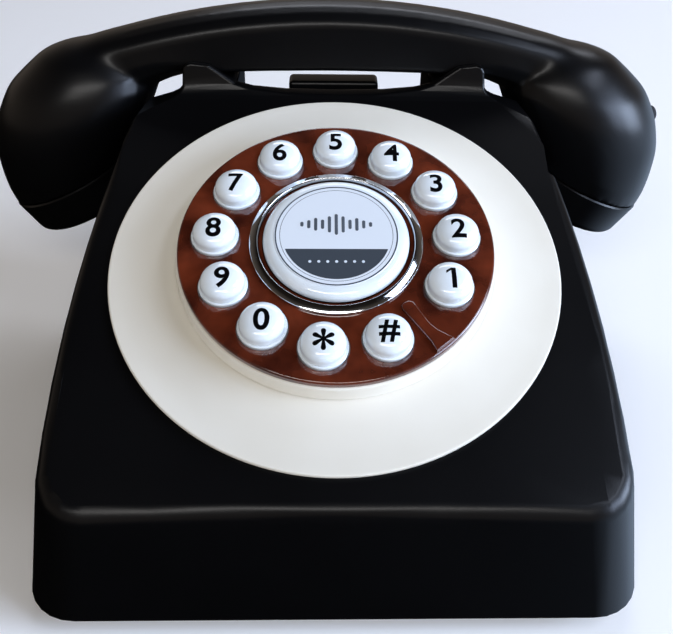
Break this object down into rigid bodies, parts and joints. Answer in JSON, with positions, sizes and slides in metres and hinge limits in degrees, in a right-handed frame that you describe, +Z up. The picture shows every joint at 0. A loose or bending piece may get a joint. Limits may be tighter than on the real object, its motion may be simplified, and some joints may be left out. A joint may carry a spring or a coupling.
{
  "type": "audio guest book telephone",
  "caption": "Desk telephone with a sloping face, a ring of round push buttons about a domed centre, a horned cradle with a sprung bar, and an arched handset lying across it.",
  "frame": {"origin": "middle of the box at the level of the feet", "axes": "+X to the right as the user faces the dial, along the handset; +Y to the rear, from the low front edge to the cradle; +Z up"},
  "size_m": [0.2402, 0.18, 0.1194],
  "materials": {
    "satin_black": "satin black ABS with a faint grain",
    "cream": "satin cream",
    "glossy_brown": "deep glossy brown",
    "glossy_white": "glossy cool white",
    "chrome": "bright plated",
    "label_grey": "printed film under a clear dome",
    "dark_rubber": "dark grey rubber",
    "zinc_steel": "zinc plated",
    "circuit_board": "green solder mask on glass fibre"
  },
  "bodies": {
    "base": {"case_shell": "satin_black", "base_plate": "satin_black", "foot_front_left": "dark_rubber", "foot_front_right": "dark_rubber", "foot_rear_left": "dark_rubber", "foot_rear_right": "dark_rubber", "screw_front_left": "zinc_steel", "screw_front_right": "zinc_steel", "screw_rear_left": "zinc_steel", "screw_rear_right": "zinc_steel", "dial_plate": "cream", "dial_drum": "cream", "dial_face": "glossy_brown", "chrome_ring": "chrome", "centre_cap": "glossy_white", "centre_label": "label_grey", "key_board": "circuit_board", "key_mat": "dark_rubber", "recorder_board": "circuit_board", "memory_card": "satin_black", "ballast_plate": "zinc_steel", "hook_switch": "satin_black", "handset_jack": "satin_black", "power_socket": "zinc_steel"},
    "hook": {"hook_bar": "satin_black"},
    "key_1": {"button_1": "glossy_white"},
    "key_2": {"button_2": "glossy_white"},
    "key_3": {"button_3": "glossy_white"},
    "key_4": {"button_4": "glossy_white"},
    "key_5": {"button_5": "glossy_white"},
    "key_6": {"button_6": "glossy_white"},
    "key_7": {"button_7": "glossy_white"},
    "key_8": {"button_8": "glossy_white"},
    "key_9": {"button_9": "glossy_white"},
    "key_0": {"button_0": "glossy_white"},
    "key_star": {"button_star": "glossy_white"},
    "key_hash": {"button_hash": "glossy_white"},
    "handset": {"handset_grip": "satin_black", "ear_cap": "satin_black", "mouth_cap": "satin_black", "receiver_capsule": "zinc_steel", "microphone_capsule": "zinc_steel", "cord_inlet": "dark_rubber"}
  },
  "joints": [
    {"name": "handset_lift", "type": "slide", "parent": "base", "child": "handset", "axis": [0, 0, 1], "range_m": [0, 0.15]},
    {"name": "hook_press", "type": "slide", "parent": "base", "child": "hook", "axis": [0, 0, -1], "range_m": [0, 0.004], "stiffness_N_per_m": 200, "springref_m": -0.002},
    {"name": "press_1", "type": "slide", "parent": "base", "child": "key_1", "axis": [0, 0.3746, -0.9272], "range_m": [0, 0.0016], "stiffness_N_per_m": 600, "springref_m": -0.0005},
    {"name": "press_2", "type": "slide", "parent": "base", "child": "key_2", "axis": [0, 0.3746, -0.9272], "range_m": [0, 0.0016], "stiffness_N_per_m": 600, "springref_m": -0.0005},
    {"name": "press_3", "type": "slide", "parent": "base", "child": "key_3", "axis": [0, 0.3746, -0.9272], "range_m": [0, 0.0016], "stiffness_N_per_m": 600, "springref_m": -0.0005},
    {"name": "press_4", "type": "slide", "parent": "base", "child": "key_4", "axis": [0, 0.3746, -0.9272], "range_m": [0, 0.0016], "stiffness_N_per_m": 600, "springref_m": -0.0005},
    {"name": "press_5", "type": "slide", "parent": "base", "child": "key_5", "axis": [0, 0.3746, -0.9272], "range_m": [0, 0.0016], "stiffness_N_per_m": 600, "springref_m": -0.0005},
    {"name": "press_6", "type": "slide", "parent": "base", "child": "key_6", "axis": [0, 0.3746, -0.9272], "range_m": [0, 0.0016], "stiffness_N_per_m": 600, "springref_m": -0.0005},
    {"name": "press_7", "type": "slide", "parent": "base", "child": "key_7", "axis": [0, 0.3746, -0.9272], "range_m": [0, 0.0016], "stiffness_N_per_m": 600, "springref_m": -0.0005},
    {"name": "press_8", "type": "slide", "parent": "base", "child": "key_8", "axis": [0, 0.3746, -0.9272], "range_m": [0, 0.0016], "stiffness_N_per_m": 600, "springref_m": -0.0005},
    {"name": "press_9", "type": "slide", "parent": "base", "child": "key_9", "axis": [0, 0.3746, -0.9272], "range_m": [0, 0.0016], "stiffness_N_per_m": 600, "springref_m": -0.0005},
    {"name": "press_0", "type": "slide", "parent": "base", "child": "key_0", "axis": [0, 0.3746, -0.9272], "range_m": [0, 0.0016], "stiffness_N_per_m": 600, "springref_m": -0.0005},
    {"name": "press_star", "type": "slide", "parent": "base", "child": "key_star", "axis": [0, 0.3746, -0.9272], "range_m": [0, 0.0016], "stiffness_N_per_m": 600, "springref_m": -0.0005},
    {"name": "press_hash", "type": "slide", "parent": "base", "child": "key_hash", "axis": [0, 0.3746, -0.9272], "range_m": [0, 0.0016], "stiffness_N_per_m": 600, "springref_m": -0.0005}
  ]
}
